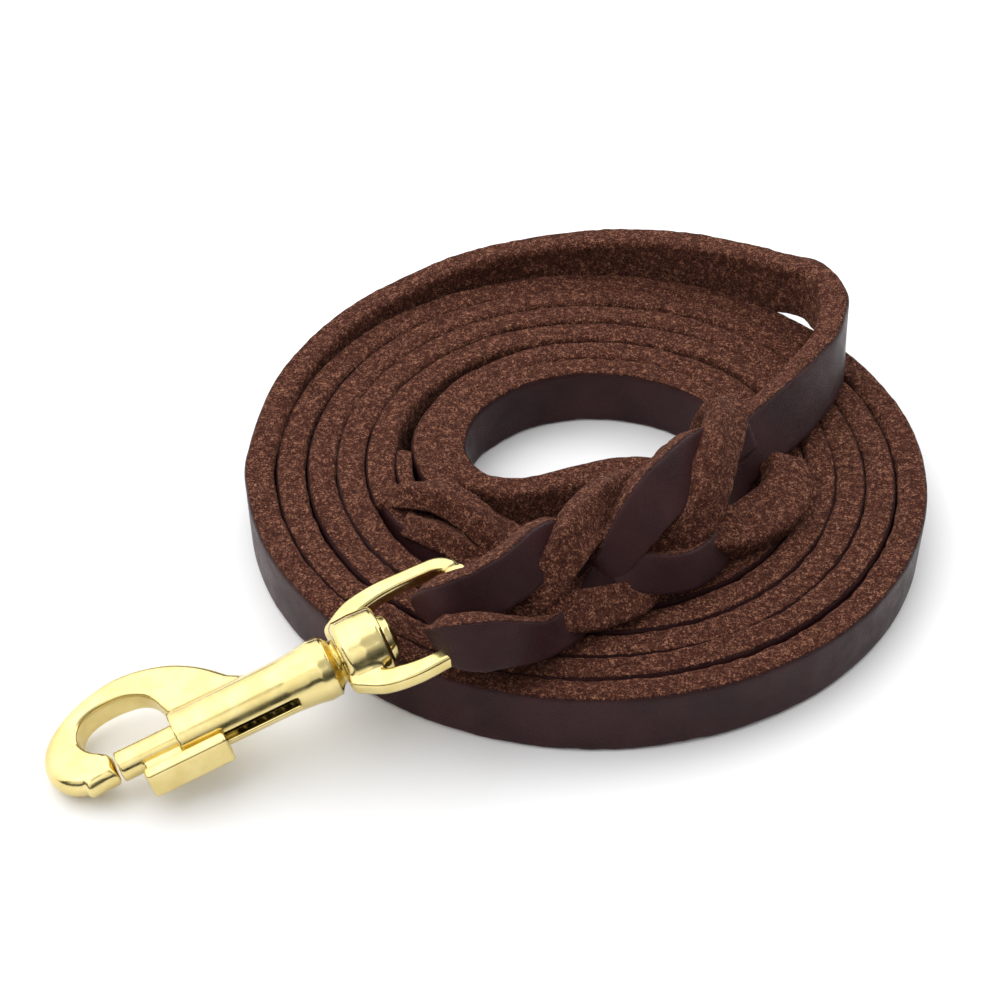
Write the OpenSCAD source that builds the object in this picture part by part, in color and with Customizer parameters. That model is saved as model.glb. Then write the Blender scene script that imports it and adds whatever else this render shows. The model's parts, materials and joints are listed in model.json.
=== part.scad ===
/* [Strap] */
// Width of the leather strap, which stands on edge in the coil
strap_w = 11; // [9:0.5:13]
// Room that each turn takes across the coil
turn_pitch = 5.2; // [4.8:0.1:5.6]
// Thickness of the leather
strap_t = 4.9; // [4:0.1:5.1]
// Outer radius of the coil at its front
coil_r = 59; // [58:0.5:62]
// Width of the braid at the snap
braid_w = 15.5; // [13:0.5:17]
// Thickness of the braid at the snap
braid_t = 10; // [8:0.5:11]

/* [Bow] */
// Radius of the bow's end bar, which the leather loop turns on
bar_r = 2.1; // [1.6:0.1:2.5]
// Clear width inside the bow
bow_inner_w = 15.8; // [14:0.2:18]
// Width and thickness of the bow's arms
arm_t = 2.6; // [2:0.1:3.2]
// Outer radius of the swivel collar
collar_r = 6; // [5.5:0.1:6.2]
// Radius of the swivel rivet's shank
rivet_r = 2.2; // [1.8:0.1:2.4]

/* [Snap] */
// Radius of the barrel
barrel_r = 4.4; // [4:0.1:4.6]
// Radius of the bolt
bolt_r = 2.5; // [2:0.1:2.8]
// How far the thumb tab draws the bolt back
bolt_travel = 9.5; // [6:0.5:10]
// Radius of the seat inside the hook
seat_r = 4.6; // [4:0.1:4.8]
// Thickness of the hook
hook_t = 4.6; // [3.6:0.2:5]
// Turns of the return spring
spring_turns = 9; // [6:1:12]

/* [Hidden] */

// Running clearance of a turning or sliding fit, on the radius
fit = 0.1;
// Space left between leather pieces that only lie against each other
gap = 0.3;

// The coil's middle, seen from the origin under the middle of the whole leash
coil_at = [14, 6.6, 0];
// The strap touches the table here, and is raised before it
landing_a = 200;
// The lead strap ends in the handle's braid here, four turns on
lead_end_a = landing_a + 4 * 360;

// The bow's end bar from the coil's middle, and how the snap lies from it
bar_at = [-19.4, -45.9, 20.6];
snap_yaw = 24;
snap_pitch = 14.9;

// Stations along the snap, from the end bar to the hook
collar_s = [14.8, 22.2];
head_s = [13.2, 14.7];
barrel_s = [22.4, 50.5];
bore_end_s = 26;
bolt_s = [41.5, 60.4];
tab_s = [43.5, 57];
slot_end_s = tab_s[0] - bolt_travel - 3;
// Inner and outer radius of the braid at the handle, and of the strap's tail beside it
handle_braid_r = [27, 37.8];
tail_r = [29, 33.4];
hook_end_s = 71.2;
seat_at = [60.2, 7.2];

// The raised stretch of strap up to where it follows the coil: x, y, middle height and lean
rise_start = [[24, -5.6, 17.3, 28], [32, 5, 17.2, 28], [36, 11, 17.2, 24],
              [39.5, 17.5, 17.1, 18], [42, 23.5, 17, 10], [43.2, 30, 16.9, 4],
              [43.6, 36, 16.9, 0]];
// The rest of it: angle round the coil and middle height
rise_turn = [[47, 16.8], [55, 15.2], [62, 14.6], [75, 13.7], [90, 12.4], [106, 10.9],
             [120, 9.7], [140, 8.4], [160, 7.3], [180, 6.2], [190, 5.8],
             [landing_a - 0.6, strap_w / 2]];
// The braid's middle line from the bow's loop to the raised strap: x, y, height and lean
braid_route = [[-9.5, -41, 20.5, 72], [-2, -36.5, 20.3, 60], [7, -29, 20, 50],
               [15.5, -19.5, 19.8, 40], [22, -8.5, 19.4, 32]];

// Inner outline of the hand loop, whose front side is wavy
hand_hole = [[21, 17], [15.5, 21], [8.5, 23.8], [1, 24.6], [-6, 23.8], [-13, 21.5],
             [-18.5, 17], [-21.8, 10.5], [-22.8, 5], [-21.7, 0.8], [-19, -3.4], [-15, -4.5],
             [-10.5, -4.4], [-5.5, -2.5], [0, 0.3], [5, 1.8], [10, 2], [17, 3.5],
             [22, 7.5], [23, 12.5]];

// ---- helpers ----

// A smooth curve through four points, between the middle two
function through(p, u) = 0.5 * ((2 * p[1]) + (p[2] - p[0]) * u
    + (2 * p[0] - 5 * p[1] + 4 * p[2] - p[3]) * u * u
    + (3 * p[1] - p[0] - 3 * p[2] + p[3]) * u * u * u);
function clamp_i(i, n) = max(0, min(n - 1, i));
function smooth_open(pts, steps) = [for (i = [0 : len(pts) - 2], k = [0 : steps - 1])
    through([for (j = [-1 : 2]) pts[clamp_i(i + j, len(pts))]], k / steps),
    pts[len(pts) - 1]];
function smooth_ring(pts, steps) = [for (i = [0 : len(pts) - 1], k = [0 : steps - 1])
    through([for (j = [-1 : 2]) pts[(i + j + len(pts)) % len(pts)]], k / steps)];
function polar(r, a) = [r * cos(a), r * sin(a)];
// Radius of the coil's outer face at an angle that goes on counting through the turns
function spiral_r(a) = coil_r - turn_pitch * (a - 270) / 360;
function unit(v) = v / norm(v);

// An eight-sided section with cut corners, width along the second axis
function section(t, w, c) = [[t / 2, -w / 2 + c], [t / 2, w / 2 - c], [t / 2 - c, w / 2],
    [-t / 2 + c, w / 2], [-t / 2, w / 2 - c], [-t / 2, -w / 2 + c],
    [-t / 2 + c, -w / 2], [t / 2 - c, -w / 2]];

// Sweeps a section along stations of [x, y, z, roll]: roll 0 has the width upright
module ribbon(route, t, w, c) {
    n = len(route);
    pts = [for (i = [0 : n - 1])
        let (p = [route[i][0], route[i][1], route[i][2]],
             a = route[clamp_i(i - 1, n)],
             b = route[clamp_i(i + 1, n)],
             along = unit([b[0] - a[0], b[1] - a[1], b[2] - a[2]]),
             side = unit(cross(along, [0, 0, 1])),
             up = cross(side, along),
             roll = route[i][3],
             across = side * cos(roll) + up * sin(roll),
             rise = up * cos(roll) - side * sin(roll))
        for (q = section(t, w, c)) p + across * q[0] + rise * q[1]];
    sides = [for (i = [0 : n - 2], k = [0 : 7])
        let (a = i * 8 + k, b = i * 8 + (k + 1) % 8)
        each [[a, b, b + 8], [a, b + 8, a + 8]]];
    start_cap = [for (k = [7 : -1 : 0]) k];
    end_cap = [for (k = [0 : 7]) (n - 1) * 8 + k];
    polyhedron(pts, concat([start_cap], sides, [end_cap]), convexity = 6);
}

// Puts a shape on the coil's own middle
module on_coil() {
    translate(coil_at) children();
}

// Puts a shape on the snap: x along the snap to the hook, y to the hook's open side, z up
module on_snap() {
    on_coil() translate(bar_at) rotate([0, 0, snap_yaw]) rotate([0, -snap_pitch, 0])
        mirror([1, 0, 0]) children();
}

// A round bar along the snap, between two stations
module along_snap(s, r) {
    translate([s[0], 0, 0]) rotate([0, 90, 0]) cylinder(h = s[1] - s[0], r = r, $fn = 64);
}

// A piece of a ring that stands on the table
module ring_piece(r_in, r_out, a0, a1, h) {
    rotate([0, 0, a0]) rotate_extrude(angle = a1 - a0, $fn = 96)
        translate([r_in, 0]) square([r_out - r_in, h]);
}

// ---- leather ----

// The single lead strap, wound four turns on its edge
module strap_coil() {
    outside = [for (a = [landing_a : 5 : landing_a + 360]) polar(spiral_r(a), a)];
    inside = [for (a = [lead_end_a - 360 : 5 : lead_end_a]) polar(spiral_r(a) - turn_pitch, a)];
    color("#4b2a24") on_coil() linear_extrude(strap_w) difference() {
        polygon(outside);
        polygon(inside);
    }
}

// The strap from the braid, over the coil and down behind it to the table
module strap_rise() {
    turned = [for (s = rise_turn)
        let (r = spiral_r(s[0]) - strap_t / 2)
        concat(polar(r, s[0]), [s[1], 0])];
    color("#57322a") on_coil()
        ribbon(smooth_open(concat(rise_start, turned), 3), strap_t, strap_w, 0.8);
}

// The slit braid that locks the strap round the bow
module snap_braid() {
    color("#4a2822") on_coil()
        ribbon(smooth_open(braid_route, 5), braid_t, braid_w, 3);
}

// The strap's own end, where it comes out of the braid
module snap_braid_tail() {
    route = [[28, -18.4, 13.4, 84], [31.6, -13.4, 13.4, 84], [35, -8.4, 13.4, 84]];
    color("#5a342a") on_coil() ribbon(route, 3.6, 7, 1);
}

// The strap's fold round the bow's end bar
module bow_loop() {
    // the leather is squeezed where it goes round the bar
    wall = 3.9;
    loop_r = bar_r + fit + wall;
    reach = 9;
    color("#432521") on_snap() rotate([-90, 0, 0]) translate([0, 0, -strap_w / 2]) difference() {
        union() {
            cylinder(h = strap_w, r = loop_r, $fn = 64);
            translate([-reach, -loop_r + 0.6, 0]) cube([reach, 2 * loop_r - 1.2, strap_w]);
        }
        translate([0, 0, -1]) cylinder(h = strap_w + 2, r = bar_r + fit, $fn = 64);
    }
}

// The slit braid that closes the hand loop
module handle_braid() {
    color("#4f2d26") on_coil() ring_piece(handle_braid_r[0], handle_braid_r[1], landing_a + 1, 226, strap_w + 1.5);
}

// The strap's other end, beside the lead strap
module handle_braid_tail() {
    color("#5a342a") on_coil() ring_piece(tail_r[0], tail_r[1], 179, landing_a, strap_w - 1);
}

// The doubled hand loop, wound inside the coil
module hand_loop() {
    // it starts past the handle's braid and stops before the strap's end
    first_a = 228;
    last_a = 176 + 360;
    turns_in = lead_end_a - 360 - landing_a;
    outside = [for (a = [first_a : 4 : last_a])
        polar(spiral_r(a + turns_in) - turn_pitch - gap, a)];
    color("#41241f") on_coil() linear_extrude(strap_w) difference() {
        polygon(concat(outside, [polar(26, last_a), polar(26, first_a)]));
        polygon(smooth_ring(hand_hole, 3));
    }
}

// ---- brass ----

// One arm of the bow, from the end bar to the collar
module bow_arm_outline() {
    mid_y = bow_inner_w / 2 + arm_t / 2;
    corner = mid_y - 6;
    translate([corner, 6]) intersection() {
        difference() {
            circle(r = corner + arm_t / 2, $fn = 64);
            circle(r = corner - arm_t / 2, $fn = 64);
        }
        translate([-20, 0]) square(20);
    }
    polygon([[corner, mid_y - arm_t / 2], [13, mid_y - arm_t / 2], [17, 5], [21.8, 3.5],
             [21.8, 6], [18.5, 9], [14, mid_y + arm_t / 2], [corner, mid_y + arm_t / 2]]);
}

// The bow that swivels on the barrel's end and holds the leather
module swivel_bow() {
    color("#d8b65a") on_snap() difference() {
        union() {
            along_snap(collar_s, collar_r);
            for (side = [0, 1]) mirror([0, side, 0])
                translate([0, 0, -arm_t / 2]) linear_extrude(arm_t) bow_arm_outline();
            translate([0, -6.2, 0]) rotate([-90, 0, 0]) cylinder(h = 12.4, r = bar_r, $fn = 64);
        }
        along_snap([collar_s[0] - 1, collar_s[1] + 1], rivet_r + fit);
    }
}

// The peened rivet that closes the barrel and carries the bow
module swivel_rivet() {
    head_r = 3.7;
    color("#e0c069") on_snap() {
        along_snap([head_s[0], collar_s[0] - fit], head_r);
        along_snap([head_s[0] + 0.5, bore_end_s], rivet_r);
    }
}

// The outside of the hook and its web, as seen from above
module hook_outline() {
    tip_r = 2.4;
    outer = [[36.5, 3.4], [42, 10.6], [47.4, 15], [54.7, 16.9], [62, 15.6], [67, 12.8],
             [70.2, 9], [hook_end_s, 4.5], [69.6, 0.6], [66.4, -1.7], [62.8, -tip_r],
             [60.7, -tip_r], [60.7, tip_r], [49, tip_r], [44, 2.8]];
    polygon(outer);
}

// The space inside the hook, with a round seat at its far end
module hook_opening() {
    top = seat_at[1] + seat_r;
    translate([0, 0, -hook_t]) {
        translate([seat_at[0], seat_at[1], 0]) cylinder(h = 2 * hook_t, r = seat_r, $fn = 64);
        linear_extrude(2 * hook_t) polygon([[seat_at[0], top], [55.5, top], [52.2, top - 1.8],
            [50.6, top - 5.2], [50.5, -3], [60.7, -3], [60.7, 2.4], [seat_at[0], 2.6]]);
    }
}

// The barrel's outside, turned round the snap's axis from the neck to its front end
module barrel_shape() {
    rotate([0, 90, 0]) rotate_extrude($fn = 96) polygon([[0, barrel_s[0]],
        [3.4, barrel_s[0]], [3.6, 23.4], [5.1, 25], [5.1, 26.6], [barrel_r, 31],
        [barrel_r, barrel_s[1]], [0, barrel_s[1]]]);
}

// The cast hook and barrel
module snap_body() {
    slot_h = 2;
    color("#dcbb60") on_snap() difference() {
        union() {
            barrel_shape();
            difference() {
                translate([0, 0, -hook_t / 2]) linear_extrude(hook_t) hook_outline();
                hook_opening();
            }
        }
        along_snap([bore_end_s, barrel_s[1] + 1], bolt_r + fit);
        along_snap([barrel_s[0] - 1, bore_end_s + 1], rivet_r);
        translate([slot_end_s, -2 * barrel_r, -slot_h / 2])
            cube([barrel_s[1] + 1 - slot_end_s, 2 * barrel_r, slot_h]);
    }
}

// The sprung bolt and its thumb tab, one casting
module bolt() {
    web_h = 1.6;
    tab_h = 5.4;
    tab_y = [-7, -4.8];
    color("#e2c46e") on_snap() {
        along_snap(bolt_s, bolt_r);
        translate([tab_s[0], tab_y[0] + 0.2, -web_h / 2])
            cube([tab_s[1] - tab_s[0], -tab_y[0] - 1, web_h]);
        translate([tab_s[0], tab_y[0], -tab_h / 2])
            cube([tab_s[1] - tab_s[0], tab_y[1] - tab_y[0], tab_h]);
    }
}

// The return spring behind the bolt
module bolt_spring() {
    wire_r = 0.28;
    mean_r = 1.9;
    length = bolt_s[0] - bore_end_s;
    per_turn = 12;
    n = spring_turns * per_turn;
    rise = (length - 2 * wire_r - 0.2) / n;
    pts = [for (i = [0 : n], k = [0 : 5])
        let (a = i * 360 / per_turn, q = k * 60, r = mean_r + wire_r * cos(q))
        [bore_end_s + wire_r + 0.1 + i * rise + wire_r * sin(q), r * cos(a), r * sin(a)]];
    sides = [for (i = [0 : n - 1], k = [0 : 5])
        let (a = i * 6 + k, b = i * 6 + (k + 1) % 6)
        each [[a, b, b + 6], [a, b + 6, a + 6]]];
    color("silver") on_snap() polyhedron(pts, concat([[for (k = [5 : -1 : 0]) k]], sides,
        [[for (k = [0 : 5]) n * 6 + k]]), convexity = 12);
}

strap_coil();
strap_rise();
snap_braid();
snap_braid_tail();
bow_loop();
handle_braid();
handle_braid_tail();
hand_loop();
swivel_bow();
swivel_rivet();
snap_body();
bolt();
bolt_spring();
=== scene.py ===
"""Training leash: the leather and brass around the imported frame."""

import json
import math

import bpy
import numpy as np
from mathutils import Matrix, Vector


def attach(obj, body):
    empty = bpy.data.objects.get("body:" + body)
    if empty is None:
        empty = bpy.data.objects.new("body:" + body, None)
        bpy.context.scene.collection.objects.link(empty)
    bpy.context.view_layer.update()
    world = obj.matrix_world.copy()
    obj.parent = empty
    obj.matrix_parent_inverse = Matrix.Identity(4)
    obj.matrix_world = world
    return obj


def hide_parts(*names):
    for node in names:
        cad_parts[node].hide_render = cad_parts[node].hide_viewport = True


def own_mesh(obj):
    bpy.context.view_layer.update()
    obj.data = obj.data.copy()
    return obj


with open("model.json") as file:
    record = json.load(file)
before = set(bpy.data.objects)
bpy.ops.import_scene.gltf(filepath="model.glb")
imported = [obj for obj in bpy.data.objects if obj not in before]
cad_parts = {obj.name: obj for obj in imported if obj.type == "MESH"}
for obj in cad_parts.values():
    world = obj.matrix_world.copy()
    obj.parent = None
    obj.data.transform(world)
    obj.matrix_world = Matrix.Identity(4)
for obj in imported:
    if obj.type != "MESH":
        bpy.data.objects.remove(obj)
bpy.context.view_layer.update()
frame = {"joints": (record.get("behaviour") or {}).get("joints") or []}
joints = {j["name"]: j for j in frame["joints"]}

# ---------------------------------------------------------------- sizes, in millimetres

MM = 0.001
STRAP_W = 11.0
STRAP_T = 5.05
HALF_T = 4.8  # of the halves in the snap's braid
PITCH = 5.2  # from one turn of the coil to the next
COIL_R = 59.0
LANDING = 200  # degrees round the coil where the raised strap comes down on the table
LEAD_END = LANDING + 4 * 360
DETAIL = 0.75  # of the strap's mesh
BOLT_R = 2.48
BOLT_BORE_R = 2.6
BOLT_BORE_END = 26.0
RIVET_BORE_R = 2.3

# The snap's own frame: s runs from the bow's bar to the hook, b to the hook's open side, n up
BAR = np.array(joints["bow_pivot"]["pos_m"]) / MM
AXIS_S = np.array(joints["swivel_spin"]["axis"])
AXIS_B = np.array(joints["bow_pivot"]["axis"])
AXIS_N = np.cross(AXIS_B, AXIS_S)
# The coil's middle on the table, from the bar
COIL = BAR + np.array([19.4, 45.9, -20.6])


def on_snap(p):
    """Snap coordinates (s, b, n) to the row frame."""
    p = np.asarray(p, float)
    return BAR + p[..., :1] * AXIS_S + p[..., 1:2] * AXIS_B + p[..., 2:3] * AXIS_N


def unit(v):
    v = np.asarray(v, float)
    return v / np.maximum(np.linalg.norm(v, axis=-1, keepdims=True), 1e-12)


# ---------------------------------------------------------------- camera, floor and light

def add_camera():
    data = bpy.data.cameras.new("camera")
    camera = bpy.data.objects.new("camera", data)
    bpy.context.scene.collection.objects.link(camera)
    camera.location = Vector((COIL + np.array([-5.2, -322.2, 278.6])) * MM)
    down = 0.710
    left = 0.034
    ahead = Vector((-math.sin(left) * math.cos(down), math.cos(left) * math.cos(down), -math.sin(down)))
    camera.rotation_euler = ahead.to_track_quat("-Z", "Y").to_euler()
    data.lens = 86.4
    data.sensor_width = 36
    data.clip_start = 0.01
    bpy.context.scene.camera = camera


def add_light(name, place, size, power, colour=(1, 1, 1)):
    data = bpy.data.lights.new(name, "AREA")
    data.shape = "RECTANGLE"
    data.size, data.size_y = size
    data.energy = power
    data.color = colour
    lamp = bpy.data.objects.new(name, data)
    bpy.context.scene.collection.objects.link(lamp)
    lamp.location = place
    lamp.rotation_euler = (-Vector(place)).to_track_quat("-Z", "Y").to_euler()


def add_studio():
    world = bpy.data.worlds.new("studio")
    world.use_nodes = True
    tree = world.node_tree
    back = tree.nodes["Background"]
    height = tree.nodes.new("ShaderNodeSeparateXYZ")
    tree.links.new(tree.nodes.new("ShaderNodeTexCoord").outputs["Generated"], height.inputs[0])
    fade = tree.nodes.new("ShaderNodeValToRGB")
    fade.color_ramp.elements[0].position = 0.0
    fade.color_ramp.elements[0].color = (0.05, 0.05, 0.055, 1)
    fade.color_ramp.elements[1].position = 1.0
    fade.color_ramp.elements[1].color = (1.0, 1.0, 1.0, 1)
    for position, level in ((0.22, 0.08), (0.45, 0.22), (0.58, 0.62), (0.75, 0.95)):
        fade.color_ramp.elements.new(position).color = (level, level, level * 1.02, 1)
    tree.links.new(height.outputs["Z"], fade.inputs["Fac"])
    tree.links.new(fade.outputs["Color"], back.inputs["Color"])
    back.inputs["Strength"].default_value = 0.72
    bpy.context.scene.world = world
    bpy.context.scene.view_settings.view_transform = "Standard"
    add_light("key", (-0.6, 0.25, 0.7), (2.0, 2.0), 18)
    add_light("front", (-0.3, -0.8, 0.6), (1.2, 0.7), 2.2)
    add_light("back", (0.45, 0.6, 0.45), (1.0, 0.8), 5.0)

    bpy.ops.mesh.primitive_grid_add(x_subdivisions=8, y_subdivisions=8, size=6)
    floor = bpy.context.object
    floor.name = "floor"
    material, shader = new_material("floor", (0.93, 0.93, 0.93), 0.55)
    shader.inputs["Specular IOR Level"].default_value = 0.2
    floor.data.materials.append(material)


# ---------------------------------------------------------------- materials

def new_material(name, colour, roughness, metallic=0.0):
    material = bpy.data.materials.new(name)
    material.use_nodes = True
    shader = material.node_tree.nodes["Principled BSDF"]
    shader.inputs["Base Color"].default_value = (*colour, 1)
    shader.inputs["Roughness"].default_value = roughness
    shader.inputs["Metallic"].default_value = metallic
    return material, shader


class Graph:
    """Short names for the nodes that the materials use."""

    def __init__(self, material):
        self.tree = material.node_tree
        self.coords = self.tree.nodes.new("ShaderNodeTexCoord").outputs["Object"]

    def link(self, value, socket):
        if isinstance(value, bpy.types.NodeSocket):
            self.tree.links.new(value, socket)
        else:
            socket.default_value = value

    def noise(self, size_mm, detail=3, roughness=0.55, stretch=None, warp=0):
        node = self.tree.nodes.new("ShaderNodeTexNoise")
        coords = self.coords
        if stretch:
            mapping = self.tree.nodes.new("ShaderNodeMapping")
            mapping.inputs["Scale"].default_value = stretch
            self.link(coords, mapping.inputs["Vector"])
            coords = mapping.outputs["Vector"]
        self.link(coords, node.inputs["Vector"])
        node.inputs["Scale"].default_value = 1 / (size_mm * MM)
        node.inputs["Detail"].default_value = detail
        node.inputs["Roughness"].default_value = roughness
        node.inputs["Distortion"].default_value = warp
        return node.outputs["Fac"]

    def cells(self, size_mm):
        node = self.tree.nodes.new("ShaderNodeTexVoronoi")
        node.feature = "DISTANCE_TO_EDGE"
        self.link(self.coords, node.inputs["Vector"])
        node.inputs["Scale"].default_value = 1 / (size_mm * MM)
        return node.outputs["Distance"]

    def attribute(self, name):
        node = self.tree.nodes.new("ShaderNodeAttribute")
        node.attribute_name = name
        return node.outputs["Fac"]

    def math(self, kind, a, b):
        node = self.tree.nodes.new("ShaderNodeMath")
        node.operation = kind
        self.link(a, node.inputs[0])
        self.link(b, node.inputs[1])
        return node.outputs[0]

    def ramp(self, value, low, high, out_low=0.0, out_high=1.0):
        node = self.tree.nodes.new("ShaderNodeMapRange")
        node.interpolation_type = "SMOOTHSTEP"
        self.link(value, node.inputs["Value"])
        self.link(low, node.inputs["From Min"])
        self.link(high, node.inputs["From Max"])
        self.link(out_low, node.inputs["To Min"])
        self.link(out_high, node.inputs["To Max"])
        return node.outputs["Result"]

    def mix(self, share, a, b):
        node = self.tree.nodes.new("ShaderNodeMix")
        node.data_type = "RGBA"
        self.link(share, node.inputs["Factor"])
        self.link(a if isinstance(a, bpy.types.NodeSocket) else (*a, 1), node.inputs["A"])
        self.link(b if isinstance(b, bpy.types.NodeSocket) else (*b, 1), node.inputs["B"])
        return node.outputs["Result"]

    def bump(self, height, strength, depth_mm, under=None):
        node = self.tree.nodes.new("ShaderNodeBump")
        self.link(height, node.inputs["Height"])
        node.inputs["Strength"].default_value = strength
        node.inputs["Distance"].default_value = depth_mm * MM
        if under is not None:
            self.link(under, node.inputs["Normal"])
        return node.outputs["Normal"]


def leather_material():
    """Smooth dark grain where the grain attribute is 1, rough fibrous suede where it is 0."""
    material, shader = new_material("leather", (0.1, 0.05, 0.04), 0.6)
    g = Graph(material)
    grain = g.attribute("grain")
    fray = g.noise(0.7, 4, 0.7)
    share = g.ramp(g.math("ADD", grain, g.math("MULTIPLY", g.math("SUBTRACT", fray, 0.5), 0.9)), 0.3, 0.62)

    # suede: clotted fibres, with lighter tips that are partly fibre colour and partly painted highlight, and
    # painted shade in the pits
    clots = g.noise(1.1, 5, 0.65)
    fibres = g.noise(0.34, 4, 0.72, warp=0.8)
    fibre_tips_and_sheen = g.ramp(g.math("ADD", fibres, g.math("MULTIPLY", clots, 0.45)), 0.76, 0.86)
    painted_pit_shade = g.ramp(fibres, 0.52, 0.38)
    suede = g.mix(g.ramp(clots, 0.3, 0.7), (0.080, 0.0245, 0.0145), (0.150, 0.050, 0.031))
    # painted shade: the low fibres in the pits darkened towards near-black brown
    suede = g.mix(g.math("MULTIPLY", painted_pit_shade, 0.85), suede, (0.016, 0.005, 0.004))
    # lighter raised fibre tips: partly the fibres' own colour, partly painted highlight
    suede = g.mix(g.math("MULTIPLY", fibre_tips_and_sheen, 0.9), suede, (0.46, 0.21, 0.125))

    # grain: dyed and oiled, with painted shade in the fine pores and a faint mottle
    mottle = g.noise(9, 3, 0.5)
    pores = g.cells(0.42)
    face = g.mix(g.ramp(mottle, 0.3, 0.7), (0.027, 0.0080, 0.0090), (0.044, 0.0138, 0.0150))
    # painted shade: the pore lines along the cell edges darkened
    face = g.mix(g.ramp(pores, 0.10, 0.02, 0.0, 0.35), face, (0.010, 0.0035, 0.004))

    g.link(g.mix(share, suede, face), shader.inputs["Base Color"])
    face_gloss = g.ramp(g.noise(3.5, 3, 0.6), 0.3, 0.7, 0.34, 0.46)
    g.link(g.ramp(share, 0, 1, 1.0, face_gloss), shader.inputs["Roughness"])

    rough_height = g.math("ADD", g.math("MULTIPLY", clots, 0.9), g.math("MULTIPLY", fibres, 0.8))
    face_height = g.math("ADD", g.ramp(pores, 0.0, 0.14, 0.0, 0.05),
                         g.math("MULTIPLY", g.noise(1.6, 3, 0.6), 0.05))
    keep = g.math("SUBTRACT", 1.0, share)
    height = g.math("ADD", g.math("MULTIPLY", rough_height, keep), g.math("MULTIPLY", face_height, share))
    g.link(g.bump(height, 1.0, 0.8), shader.inputs["Normal"])
    shader.inputs["Specular IOR Level"].default_value = 0.16
    return material


def brass_material():
    material, shader = new_material("brass", (0.78, 0.60, 0.27), 0.14, 1.0)
    g = Graph(material)
    cloud = g.noise(4.0, 3, 0.55)
    g.link(g.mix(g.ramp(cloud, 0.3, 0.7), (0.79, 0.66, 0.30), (0.71, 0.57, 0.23)),
           shader.inputs["Base Color"])
    haze = g.noise(2.2, 4, 0.6)
    scuffs = g.noise(0.22, 3, 0.7, stretch=(1, 0.12, 1))
    gloss = g.math("ADD", g.ramp(haze, 0.3, 0.75, 0.15, 0.26), g.ramp(scuffs, 0.6, 0.8, 0.0, 0.10))
    g.link(gloss, shader.inputs["Roughness"])
    soft = g.bump(g.noise(3.0, 2, 0.5), 0.14, 0.12)
    g.link(g.bump(g.noise(0.35, 3, 0.6), 0.12, 0.02, soft), shader.inputs["Normal"])
    return material


def steel_material():
    material, shader = new_material("spring_wire", (0.55, 0.54, 0.52), 0.32, 1.0)
    g = Graph(material)
    g.link(g.ramp(g.noise(0.5, 3), 0.3, 0.7, 0.24, 0.42), shader.inputs["Roughness"])
    return material


# ---------------------------------------------------------------- curves and meshes

def smooth_through(points, step, per_span=24):
    """Even stations along a smooth curve through points; columns after the third ride along."""
    p = np.asarray(points, float)
    padded = np.vstack([2 * p[0] - p[1], p, 2 * p[-1] - p[-2]])
    u = np.linspace(0, 1, per_span, endpoint=False)[:, None]
    spans = []
    for i in range(1, len(padded) - 2):
        a, b, c, d = padded[i - 1:i + 3]
        spans.append(0.5 * (2 * b + (c - a) * u + (2 * a - 5 * b + 4 * c - d) * u**2
                            + (3 * b - a - 3 * c + d) * u**3))
    fine = np.vstack(spans + [p[-1:]])
    run = np.concatenate([[0], np.cumsum(np.linalg.norm(np.diff(fine[:, :3], axis=0), axis=1))])
    stations = np.linspace(0, run[-1], max(int(round(run[-1] / step)), 4) + 1)
    return np.column_stack([np.interp(stations, run, column) for column in fine.T])


def noise(points, size, seed=0):
    """Smooth noise from -1 to 1, with features about size across."""
    q = np.asarray(points, float) / size + 17.3 * seed
    cell = np.floor(q).astype(np.int64)
    f = q - cell
    f = f * f * (3 - 2 * f)
    total = np.zeros(len(q))
    for corner in np.ndindex(2, 2, 2):
        c = cell + corner
        h = (c[:, 0] * 73856093) ^ (c[:, 1] * 19349663) ^ (c[:, 2] * 83492791)
        h = ((h ^ (h >> 13)) * 1274126177) & 0xFFFFFFF
        value = ((h ^ (h >> 11)) & 0xFFFF) / 32767.5 - 1
        total += value * np.prod(np.where(corner, f, 1 - f), axis=1)
    return total


def add_mesh(name, points, faces, material, body):
    """points are millimetres in the row frame."""
    mesh = bpy.data.meshes.new(name)
    mesh.from_pydata((np.asarray(points) * MM).tolist(), [], faces)
    mesh.update()
    mesh.shade_smooth()
    mesh.materials.append(material)
    piece = bpy.data.objects.new(name, mesh)
    bpy.context.scene.collection.objects.link(piece)
    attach(piece, body)
    return piece


def strap_section(width, thick, step):
    """Outline of the strap's section: across, out, the outline's normal, and its share of grain."""
    outline = []
    grain_corner = 0.8
    flesh_corner = 1.0
    hw, ht = width / 2, thick / 2

    def flat(a, b, normal, grain):
        n = max(int(round(math.dist(a, b) / step)), 2)
        for i in range(n):
            u = i / n
            outline.append((a[0] + (b[0] - a[0]) * u, a[1] + (b[1] - a[1]) * u, *normal, grain))

    def arc(centre, r, start, grain_a, grain_b):
        n = 4
        for i in range(n):
            t = math.radians(start + 90 * i / n)
            share = grain_a + (grain_b - grain_a) * i / n
            outline.append((centre[0] + r * math.cos(t), centre[1] + r * math.sin(t),
                            math.cos(t), math.sin(t), share))

    g, f = grain_corner, flesh_corner
    flat((hw, -ht + f), (hw, ht - g), (1, 0), 0.0)
    arc((hw - g, ht - g), g, 0, 0.0, 1.0)
    flat((hw - g, ht), (-hw + g, ht), (0, 1), 1.0)
    arc((-hw + g, ht - g), g, 90, 1.0, 0.0)
    flat((-hw, ht - g), (-hw, -ht + f), (-1, 0), 0.0)
    arc((-hw + f, -ht + f), f, 180, 0.0, 0.0)
    flat((-hw + f, -ht), (hw - f, -ht), (0, -1), 0.0)
    arc((hw - f, -ht + f), f, 270, 0.0, 0.0)
    return np.array(outline)


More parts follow.
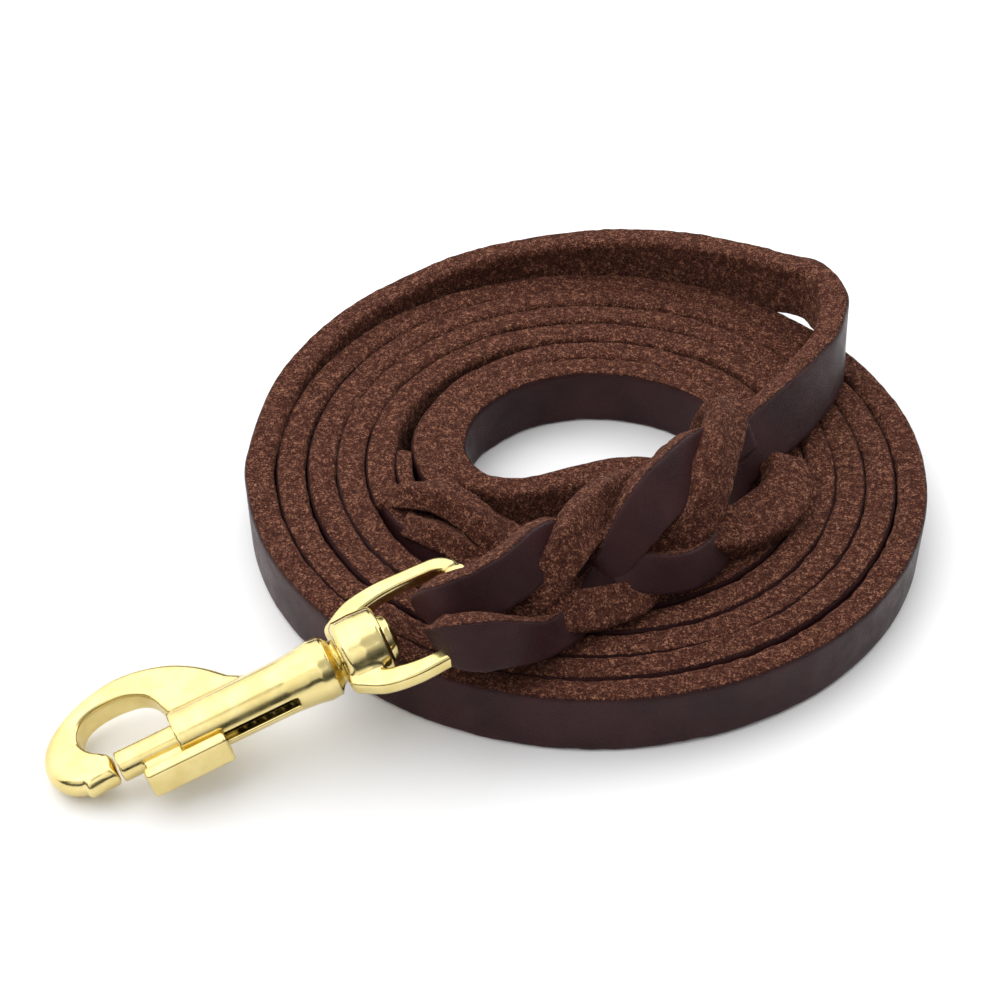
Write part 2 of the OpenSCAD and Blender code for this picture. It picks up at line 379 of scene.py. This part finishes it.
def add_strap(name, route, out, width=STRAP_W, thick=STRAP_T, seed=0, round_ends=(0, 0)):
    """Leather strap along route (N, 3), with its grain side towards out (N, 3), in the row frame.
    width may be an array along the route. round_ends are the rounding at each end."""
    route = np.asarray(route, float)
    n = len(route)
    along = unit(np.gradient(route, axis=0))
    out = unit(out - along * np.sum(out * along, axis=1, keepdims=True))
    across = np.cross(along, out)
    base_w = float(np.max(width))
    ring = strap_section(base_w, thick, DETAIL)
    k = len(ring)
    half_w = np.broadcast_to(width, n) / base_w
    run = np.concatenate([[0], np.cumsum(np.linalg.norm(np.diff(route, axis=0), axis=1))])
    shrink = np.zeros(n)
    for r, gone in ((round_ends[0], run), (round_ends[1], run[-1] - run)):
        if r:
            d = np.clip(gone, 0, r)
            shrink = np.maximum(shrink, r - np.sqrt(np.maximum(r * r - (r - d)**2, 0)))
    half_w = np.maximum(half_w - shrink * 2 / base_w, 0.1)
    half_t = np.maximum(1 - shrink * 2 / thick, 0.1)
    u = ring[None, :, 0] * half_w[:, None]
    v = ring[None, :, 1] * half_t[:, None]
    points = route[:, None, :] + across[:, None, :] * u[..., None] + out[:, None, :] * v[..., None]
    normals = across[:, None, :] * ring[None, :, 2, None] + out[:, None, :] * ring[None, :, 3, None]
    flat_points = points.reshape(-1, 3)
    grain = np.tile(ring[:, 4], n)
    lumps = 0.16 * noise(flat_points, 3.4, seed) + 0.15 * noise(flat_points, 1.5, seed + 1)
    lumps += 0.10 * noise(flat_points, 0.8, seed + 2)
    soft = 0.05 * noise(flat_points, 7, seed + 3)
    lift = lumps * (1 - grain) + soft * grain
    flat_points = flat_points + normals.reshape(-1, 3) * lift[:, None]
    flat_points[:, 2] = np.maximum(flat_points[:, 2], 0)
    faces = []
    for i in range(n - 1):
        a, b = i * k, (i + 1) * k
        for j in range(k):
            m = (j + 1) % k
            faces.append((a + j, b + j, b + m, a + m))
    first, last = len(flat_points), len(flat_points) + 1
    flat_points = np.vstack([flat_points, route[:1], route[-1:]])
    grain = np.concatenate([grain, [0, 0]])
    for j in range(k):
        m = (j + 1) % k
        faces.append((first, j, m))
        faces.append((last, (n - 1) * k + m, (n - 1) * k + j))
    piece = add_mesh(name, flat_points, faces, LEATHER, "root")
    layer = piece.data.attributes.new("grain", "FLOAT", "POINT")
    layer.data.foreach_set("value", grain.astype(np.float32))
    return piece


# ---------------------------------------------------------------- solids by distance, for castings

def rounded(a, b, edge):
    """Where two distances are both negative, with the edge between them rounded."""
    a, b = a + edge, b + edge
    return np.minimum(np.maximum(a, b), 0) + np.hypot(np.maximum(a, 0), np.maximum(b, 0)) - edge


def join(a, b, soft):
    h = np.maximum(soft - np.abs(a - b), 0) / soft
    return np.minimum(a, b) - h * h * soft / 4


def cut(a, b, soft):
    return -join(-a, b, soft)


def polygon_distance(x, y, outline):
    """Signed distance to a closed outline, negative inside."""
    pts = np.asarray(outline, float)
    nearest = np.full(len(x), 1e9)
    inside = np.zeros(len(x), bool)
    for (x0, y0), (x1, y1) in zip(pts, np.roll(pts, -1, axis=0)):
        ex, ey = x1 - x0, y1 - y0
        wx, wy = x - x0, y - y0
        t = np.clip((wx * ex + wy * ey) / max(ex * ex + ey * ey, 1e-12), 0, 1)
        nearest = np.minimum(nearest, (wx - ex * t)**2 + (wy - ey * t)**2)
        crosses = ((y0 > y) != (y1 > y))
        if y1 != y0:
            inside ^= crosses & (x < ex * (y - y0) / ey + x0)
    return np.where(inside, -1, 1) * np.sqrt(nearest)


def path_distance(x, y, path):
    nearest = np.full(len(x), 1e9)
    for (x0, y0), (x1, y1) in zip(path[:-1], path[1:]):
        ex, ey = x1 - x0, y1 - y0
        wx, wy = x - x0, y - y0
        t = np.clip((wx * ex + wy * ey) / (ex * ex + ey * ey), 0, 1)
        nearest = np.minimum(nearest, (wx - ex * t)**2 + (wy - ey * t)**2)
    return np.sqrt(nearest)


def closed_curve(points, per_span=5):
    p = np.asarray(points, float)
    out = []
    for i in range(len(p)):
        a, b, c, d = p[i - 1], p[i], p[(i + 1) % len(p)], p[(i + 2) % len(p)]
        for j in range(per_span):
            u = j / per_span
            out.append(0.5 * (2 * b + (c - a) * u + (2 * a - 5 * b + 4 * c - d) * u**2
                              + (3 * b - a - 3 * c + d) * u**3))
    return np.array(out)


def gradient(solid, p):
    h = 0.05
    slopes = []
    for i in range(3):
        step = np.zeros(3)
        step[i] = h
        slopes.append(solid(p + step) - solid(p - step))
    return unit(np.stack(slopes, -1))


def casting(name, solid, low, high, body, cell=0.36):
    """Mesh of the surface where solid(points) is zero, in snap coordinates."""
    cell = cell * 1.0
    axes = [np.arange(low[i], high[i] + cell, cell) for i in range(3)]
    grid = np.stack(np.meshgrid(*axes, indexing="ij"), -1)
    shape = grid.shape[:3]
    inside = (solid(grid.reshape(-1, 3)) < 0).reshape(shape)
    count = np.zeros([s - 1 for s in shape], int)
    for dx, dy, dz in np.ndindex(2, 2, 2):
        count += inside[dx:shape[0] - 1 + dx, dy:shape[1] - 1 + dy, dz:shape[2] - 1 + dz]
    mixed = (count > 0) & (count < 8)
    index = np.full(mixed.shape, -1)
    index[mixed] = np.arange(mixed.sum())
    points = grid[:-1, :-1, :-1][mixed] + cell / 2
    faces = []
    for axis in range(3):
        a, b = [i for i in range(3) if i != axis]
        ahead = np.roll(inside, -1, axis)
        trim = [slice(1, -1)] * 3
        trim[axis] = slice(0, -1)
        change = (inside != ahead)[tuple(trim)]
        where = np.argwhere(change)
        where[:, a] += 1
        where[:, b] += 1
        flip = inside[tuple(where.T)]
        quads = []
        for da, db in ((1, 1), (0, 1), (0, 0), (1, 0)):
            c = where.copy()
            c[:, a] -= da
            c[:, b] -= db
            quads.append(index[tuple(c.T)])
        quads = np.stack(quads, -1)
        if axis == 1:
            flip = ~flip
        quads[flip] = quads[flip][:, ::-1]
        faces.append(quads)
    faces = np.vstack(faces)
    # relax along the surface and pull back on to it
    edges = np.vstack([faces[:, [i, (i + 1) % 4]] for i in range(4)])
    for turn in range(4):
        for _ in range(2):
            normal = gradient(solid, points)
            points = points - normal * solid(points)[:, None]
        if turn < 3:
            total = np.zeros_like(points)
            weight = np.zeros(len(points))
            np.add.at(total, edges[:, 0], points[edges[:, 1]])
            np.add.at(total, edges[:, 1], points[edges[:, 0]])
            np.add.at(weight, edges[:, 0], 1)
            np.add.at(weight, edges[:, 1], 1)
            points = total / weight[:, None]
    return add_mesh(name, on_snap(points), faces[:, ::-1].tolist(), BRASS, body)


# ---------------------------------------------------------------- the strap

def polar(r, degrees):
    a = np.radians(degrees)
    return np.stack([r * np.cos(a), r * np.sin(a)], -1)


def coil_radius(degrees):
    """Middle of the strap, at an angle that goes on counting through the turns."""
    return COIL_R - PITCH * (np.asarray(degrees, float) - 270) / 360 - STRAP_T / 2


def with_out(points):
    """Splits stations of x, y, z, lean into places and grain directions; travel is the strap's own."""
    place = COIL + points[:, :3]
    along = unit(np.gradient(place, axis=0))
    side = unit(np.cross(along, [0, 0, 1]))
    up = np.cross(side, along)
    lean = np.radians(points[:, 3:4])
    return place, side * np.cos(lean) + up * np.sin(lean)


def lead_route():
    raised = [[20.6, -10.1, 17.3, 28], [24, -5.6, 17.3, 28], [32, 5, 17.2, 28], [36, 11, 17.2, 24],
              [39.5, 17.5, 17.1, 18],
              [42, 23.5, 17, 10], [43.2, 30, 16.9, 4], [43.6, 36, 16.9, 0]]
    heights = [(47, 16.8), (55, 15.2), (62, 14.6), (75, 13.7), (90, 12.4), (106, 10.9), (120, 9.7),
               (140, 8.4), (160, 7.3), (180, 6.2), (190, 5.8), (LANDING, 5.6)]
    turns = []
    for degrees in np.concatenate([[t for t, _ in heights], np.arange(LANDING + 10, LEAD_END + 1, 10)]):
        height = np.interp(degrees, [t for t, _ in heights], [z for _, z in heights])
        wave = 0.12 * math.sin(math.radians(degrees) * 2.3) + 0.1 * math.sin(math.radians(degrees) * 5.1 + 1)
        settle = np.interp(degrees, [LANDING - 60, LANDING], [0, 1])
        x, y = polar(coil_radius(degrees) + 0.08 * math.sin(math.radians(degrees) * 3.7), degrees)
        turns.append([x, y, height + settle * (0.12 + wave), 2.5 * math.sin(math.radians(degrees) * 1.7)])
    return smooth_through(raised + turns, DETAIL)


def hand_loop_route():
    """From the handle's braid round the outside, back along the front, folded, and round the inside."""
    outer = [[*polar(32.6, a), 5.6, 0] for a in (226, 236)]
    outer += [[*polar(r, a), 5.6, 0] for a, r in
              ((250, 34.2), (268, 35), (290, 35), (315, 34.9), (340, 34.7), (360, 34.5), (380, 34),
               (405, 33.2), (430, 32.5), (450, 32.2), (470, 31.8), (495, 31), (515, 30.2), (530, 29.9))]
    wavy = [[-28.3, -1.6, 5.6, 0], [-25.9, -6.6, 5.6, 0], [-22.6, -11, 5.6, 0], [-18, -15.6, 5.6, 0],
            [-12, -19.8, 5.6, 0], [-4, -22.9, 5.6, 0], [4, -24.2, 5.6, 0], [11, -24, 5.6, 0],
            [17.3, -22, 5.6, 0], [22.2, -17.8, 5.6, 0], [23.6, -12, 5.6, 0], [21.6, -6.6, 5.6, 0],
            [16.8, -2.9, 5.6, 0], [10.6, -0.9, 5.6, 0], [4, -1.2, 5.6, 0], [-3, -3.8, 5.6, 0],
            [-9.6, -6.6, 5.6, 0], [-15.6, -7.2, 5.6, 0], [-20.6, -5.2, 5.6, 0], [-23.9, -0.6, 5.6, 0]]
    inner = [[*polar(r, a), 5.6, 0] for a, r in
             ((170, 25.2), (155, 26.2), (140, 26.6), (120, 26.9), (100, 27.1), (80, 27.4), (60, 28),
              (40, 28.7), (20, 29.3), (0, 29.7), (-20, 30), (-45, 30.1), (-70, 30.1), (-92, 30),
              (-110, 29.6), (-124, 28.6), (-134, 27.8))]
    return smooth_through(outer + wavy + inner, DETAIL)


def build_straps():
    place, out = with_out(lead_route())
    lead = add_strap("lead_strap", place, out, seed=3)
    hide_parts("strap_coil", "strap_rise")
    place_loop, out_loop = with_out(hand_loop_route())
    loop = add_strap("hand_loop_strap", place_loop, out_loop, seed=11)
    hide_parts("hand_loop")


# ---------------------------------------------------------------- the braids

# The strap is slit in two halves, each woven over and under the other end of the strap.
# Stations are x, y, z from the coil's middle, the grain side's azimuth and elevation, and width.
UPPER_HALF = [
    [19.5, 2.5, 13, 143, -180, 5.6], [20, 2.5, 17.5, 143, -165, 5.8], [21.3, 0.4, 22, 143, -115, 6],
    [22.2, -4.4, 24.5, 148, -55, 6.6], [21, -11, 24.8, 156, -34, 7], [19.5, -18, 23.8, 160, -28, 7.2],
    [17.5, -23.5, 21.2, 158, -32, 7], [13.5, -27, 17.6, 150, -45, 6.2],
    [11.5, -24.5, 15.2, 150, -60, 5.4], [10.5, -20.5, 15.4, 150, -60, 5.4], [8.5, -18, 18, 146, -45, 5.6],
    [6, -19.5, 21.5, 140, -35, 6], [3.5, -24.5, 24.3, 135, -30, 6.8], [-0.5, -30.5, 25.4, 130, -28, 7],
    [-3.5, -36.5, 24.8, 128, -32, 7], [-6.5, -40.5, 22, 125, -42, 6.6], [-9.5, -43.5, 18.6, 120, -60, 6],
    [-13.5, -45.3, 15.9, 160, -84, 5.6], [-17.8, -45.3, 15.8, 200, -88, 5.5],
    [-21.8, -46.9, 16.3, 204, -55, 5.5], [-24, -47.8, 18.6, 214, -20, 6.4],
    [-24.3, -48.7, 21.2, 236, 5, 7.8], [-21.8, -49.9, 23.4, 268, 20, 8.6],
    [-17.4, -48, 24, 290, 28, 8.6], [-12.6, -43.4, 24.2, 298, 30, 8.6], [-8.8, -37.8, 24, 300, 32, 8.2],
    [-6.6, -33.2, 22.2, 300, 26, 6.4], [-5.4, -30.8, 19.3, 300, 35, 5.6], [-3, -31.8, 16.6, 300, 50, 5.4],
    [0, -34, 16.8, 300, 50, 5.4], [2.5, -34.6, 19, 305, 38, 6.4], [5, -32, 22.2, 308, 38, 8.2],
    [8.2, -27.8, 24.4, 310, 40, 9.2], [12.1, -22, 24.9, 312, 40, 9.6], [15.8, -15.4, 23.8, 315, 38, 9.6],
    [18.8, -9.8, 21.4, 318, 34, 8.8], [22, -6.4, 19.7, 320, 30, 6.4], [26, -2, 19.8, 323, 28, 5.2]]
LOWER_HALF = [
    [32.2, -4, 15.8, 162, -55, 7], [33, -9, 14.4, 162, -64, 8.2], [31.6, -13.8, 13.9, 160, -70, 8.8],
    [28, -18, 13.9, 160, -72, 8.8], [24, -21.2, 14.3, 160, -68, 8.4], [19, -23.8, 15.4, 158, -60, 7.6],
    [12.5, -27, 16.8, 150, -52, 6.4], [10.5, -30, 14.5, 150, -60, 5.6], [9, -33.5, 12.9, 150, -60, 5.6],
    [6, -37.8, 13.4, 145, -48, 6.4], [0, -41.8, 14.8, 140, -38, 7], [-6, -44.2, 16, 132, -44, 6.6],
    [-10.5, -45.2, 16.4, 122, -62, 6], [-13.6, -48, 15.7, 160, -84, 5.6], [-16.2, -50, 15.5, 200, -88, 5.5],
    [-19.8, -51.9, 16, 204, -55, 5.5], [-22.4, -53.4, 19, 216, -20, 6.4],
    [-21.6, -56, 21, 250, 5, 7.6], [-17.4, -57.3, 22, 284, 20, 8.8], [-12.8, -54.7, 19.9, 298, 26, 7.6],
    [-8.8, -50.4, 16.4, 305, 28, 6.4], [-5, -45.4, 14, 305, 40, 5.8], [-1.6, -40.6, 13.4, 305, 50, 5.4],
    [0.4, -36.8, 15.4, 305, 50, 5.6], [2.6, -34.8, 17, 304, 42, 6], [6.5, -34.6, 16.6, 302, 34, 6.6],
    [12, -33.2, 15.2, 306, 30, 6.8], [16.5, -30.2, 14.4, 312, 28, 6.6], [19.6, -25, 13.8, 318, 28, 6],
    [21.6, -17.5, 14, 320, 28, 5.5], [23.4, -9.5, 14.6, 322, 28, 5.3], [27, -3.5, 15, 323, 28, 5.2]]


def add_woven(name, stations, seed, thick=HALF_T, round_ends=(1.6, 0.8)):
    table = smooth_through(stations, DETAIL)
    azimuth, elevation = np.radians(table[:, 3]), np.radians(table[:, 4])
    out = np.stack([np.cos(elevation) * np.cos(azimuth), np.cos(elevation) * np.sin(azimuth),
                    np.sin(elevation)], -1)
    return add_strap(name, COIL + table[:, :3], out, table[:, 5], thick, seed=seed, round_ends=round_ends)


def build_snap_braid():
    upper = add_woven("snap_braid_upper", UPPER_HALF, 21)
    lower = add_woven("snap_braid_lower", LOWER_HALF, 27)
    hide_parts("snap_braid", "bow_loop")
    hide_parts("snap_braid_tail")


# The handle's braid: the strap's own tail, and the halves that cross from the lead to the loop
HANDLE_TAIL = [
    [-33.1, 1.9, 6, 182, 0, 11], [-32.7, -3.5, 6, 186, 0, 11], [-31.2, -9.2, 5.6, 200, 0, 10],
    [-28, -14.4, 5.3, 216, 0, 9], [-24.6, -18, 5, 226, 0, 8]]
HANDLE_OUTER = [
    [-35.2, -11.2, 5.8, 198, 4, 10.6], [-32.6, -16.2, 5.9, 208, 14, 9.4], [-28.8, -20.4, 6, 220, 20, 8.4],
    [-24.6, -23, 5.8, 232, 12, 9.4], [-20.6, -25, 5.6, 238, 0, 10.4]]
HANDLE_OVER = [
    [-35.6, -7.2, 6.2, 200, -30, 5.6], [-33, -10.4, 9.6, 215, -50, 5.6], [-29.4, -12.2, 12.6, 222, -62, 6],
    [-25.6, -13.8, 13.6, 226, -66, 6.4], [-21.6, -16.4, 13.2, 226, -64, 6.4], [-18, -19.6, 11.8, 226, -58, 6],
    [-15, -22.6, 8.6, 228, -44, 6], [-12, -25, 5.8, 232, -30, 5.6]]
HANDLE_UNDER = [
    [-27.6, -8.6, 8.4, 205, -40, 5.4], [-28.2, -12.2, 7.6, 210, -50, 5.6], [-29.4, -16.4, 8.8, 222, -55, 6],
    [-26.8, -19.6, 10.8, 232, -58, 6.6], [-22.4, -22.6, 10.4, 236, -52, 6.4],
    [-18.4, -24.8, 7.4, 238, -40, 5.6]]


def build_handle_braid():
    over = add_woven("handle_braid_over", HANDLE_OVER, 41, 4.6, (1.6, 1.6))
    add_woven("handle_braid_under", HANDLE_UNDER, 45, 4.4, (1.6, 1.6))
    add_woven("handle_braid_outer", HANDLE_OUTER, 49, 4.2, (0.8, 0.8))
    tail = add_woven("handle_tail", HANDLE_TAIL, 53, 2.9, (0.7, 1.2))
    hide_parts("handle_braid")
    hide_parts("handle_braid_tail")


# ---------------------------------------------------------------- the brass

def barrel_distance(p):
    ring = np.hypot(p[:, 1], p[:, 2])
    profile = [[22.4, -1], [22.4, 3.5], [23.4, 3.7], [24.3, 5.0], [26.2, 5.15], [28.4, 4.75],
               [32, 4.45], [50.5, 4.35], [50.5, -1]]
    return polygon_distance(p[:, 0], ring, profile)


def hook_distance(p):
    s, b, n = p.T
    outer = closed_curve([[36, 2.6], [39.2, 7.2], [43.2, 11.9], [48.2, 15.3], [54.7, 16.9], [61.4, 15.8],
                          [67, 12.8], [70.4, 8.8], [71.2, 4.5], [69.8, 0.6], [66.6, -1.7], [63, -2.4]], 4)
    outer = np.vstack([outer[:-4], [[63, -2.4], [60.8, -2.4], [60.8, 2.4], [50, 2.4], [42, 1.5]]])
    flat = polygon_distance(s, b, outer)
    thick = 1.45 + 0.9 * np.clip((s - 44) / 12, 0, 1)**1.5
    body = rounded(flat, np.abs(n) - thick, np.minimum(thick * 0.96, 2.2))
    hole = closed_curve([[50.7, 2.5], [50.9, 6.6], [52.6, 10], [55.8, 11.7], [60.2, 11.8], [63.4, 10.4],
                         [64.8, 7.2], [63.6, 4.0], [60.6, 2.5]], 4)
    return cut(body, polygon_distance(s, b, hole), 0.9)


def snap_body_distance(p):
    s, b, n = p.T
    solid = join(barrel_distance(p), hook_distance(p), 1.1)
    bore = np.maximum(np.hypot(b, n) - BOLT_BORE_R, BOLT_BORE_END - s)
    solid = np.maximum(solid, -np.maximum(bore, s - 60.7))
    slot = np.maximum(np.maximum(np.abs(n) - 1.0, b), 31 - s)
    return cut(solid, np.maximum(slot, s - 52), 0.3)


def box_distance(p, low, high, edge):
    low, high = np.asarray(low, float), np.asarray(high, float)
    q = np.abs(p - (low + high) / 2) - (high - low) / 2 + edge
    return np.linalg.norm(np.maximum(q, 0), axis=1) + np.minimum(q.max(axis=1), 0) - edge


def bolt_distance(p):
    s, b, n = p.T
    rod = rounded(np.hypot(b, n) - BOLT_R, np.abs(s - 50.95) - 9.45, 0.35)
    tab = box_distance(p, (43.5, -7.0, -2.7), (57, -4.85, 2.7), 0.55)
    web = box_distance(p, (43.7, -6.4, -0.8), (56.6, -1, 0.8), 0.2)
    return np.minimum(join(tab, web, 0.8), rod)


def bow_distance(p):
    s, b, n = p.T
    profile = [[14.8, -1], [14.8, 5.2], [15.4, 5.85], [18.6, 6.05], [21.5, 5.9], [22.2, 5.2], [22.2, -1]]
    collar = polygon_distance(s, np.hypot(b, n), profile)
    corner = [[3.3 - 3.3 * math.cos(t), 5.9 + 3.3 * math.sin(t), 0] for t in np.linspace(0, math.pi / 2, 7)]
    arm = smooth_through(corner + [[9, 9.5, 0], [13.4, 9.3, 0], [17.6, 8.2, 0], [21, 5.9, 0]], 0.8)[:, :2]
    away = path_distance(s, np.abs(b), arm)
    wide = 1.35 + 0.5 * np.clip((s - 8) / 10, 0, 1)
    arms = rounded(away - wide, np.abs(n) - 1.35, 0.75)
    bar = rounded(np.hypot(s, n) - 2.1, np.abs(b) - 6.4, 0.8)
    solid = join(join(arms, bar, 0.8), collar, 1.2)
    recess = np.maximum(np.hypot(b, n) - 4.5, s - 15.9)
    return np.maximum(cut(solid, recess, 0.3), -np.maximum(np.hypot(b, n) - RIVET_BORE_R, 12 - s))


def rivet_distance(p):
    s, b, n = p.T
    ring = np.hypot(b, n)
    profile = [[13.2, 0], [13.0, 1.0], [13.1, 2.6], [13.7, 3.5], [14.6, 3.75], [15.6, 3.6], [15.8, 2.2],
               [26, 2.2], [26, -1], [13.5, -1]]
    return polygon_distance(s, ring, profile)


def build_brass():
    body = casting("hook_casting", snap_body_distance, (21.5, -6.5, -6.5), (72.5, 18.2, 6.5), "snap")
    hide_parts("snap_body")
    bolt = casting("bolt_casting", bolt_distance, (40.5, -8, -3.9), (61.5, 3.5, 3.9), "bolt", cell=0.3)
    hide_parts("bolt")
    bow = casting("bow_casting", bow_distance, (-3.5, -12, -7.5), (23.5, 12, 7.5), "bow")
    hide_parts("swivel_bow")
    rivet = casting("rivet_casting", rivet_distance, (12, -4.5, -4.5), (27, 4.5, 4.5), "snap", cell=0.3)
    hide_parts("swivel_rivet")


def build_spring():
    turns, wire, mean = 9, 0.28, 1.9
    start, stop = 26.4, 41.1
    t = np.linspace(0, 1, turns * 28 + 1)
    line = np.stack([start + (stop - start) * t, mean * np.cos(2 * np.pi * turns * t),
                     mean * np.sin(2 * np.pi * turns * t)], -1)
    along = unit(np.gradient(line, axis=0))
    radial = unit(line * [0, 1, 1])
    third = np.cross(along, radial)
    k = 8
    a = np.linspace(0, 2 * np.pi, k, endpoint=False)
    points = (line[:, None] + wire * (radial[:, None] * np.cos(a)[None, :, None]
                                      + third[:, None] * np.sin(a)[None, :, None])).reshape(-1, 3)
    faces = [(i * k + j, i * k + (j + 1) % k, (i + 1) * k + (j + 1) % k, (i + 1) * k + j)
             for i in range(len(t) - 1) for j in range(k)]
    faces.append(tuple(range(k - 1, -1, -1)))
    faces.append(tuple((len(t) - 1) * k + j for j in range(k)))
    spring = add_mesh("return_spring", on_snap(points), faces, STEEL, "snap")
    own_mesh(spring)
    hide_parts("bolt_spring")


add_camera()
add_studio()
LEATHER = leather_material()
BRASS = brass_material()
STEEL = steel_material()
build_straps()
build_snap_braid()
build_handle_braid()
build_brass()
build_spring()
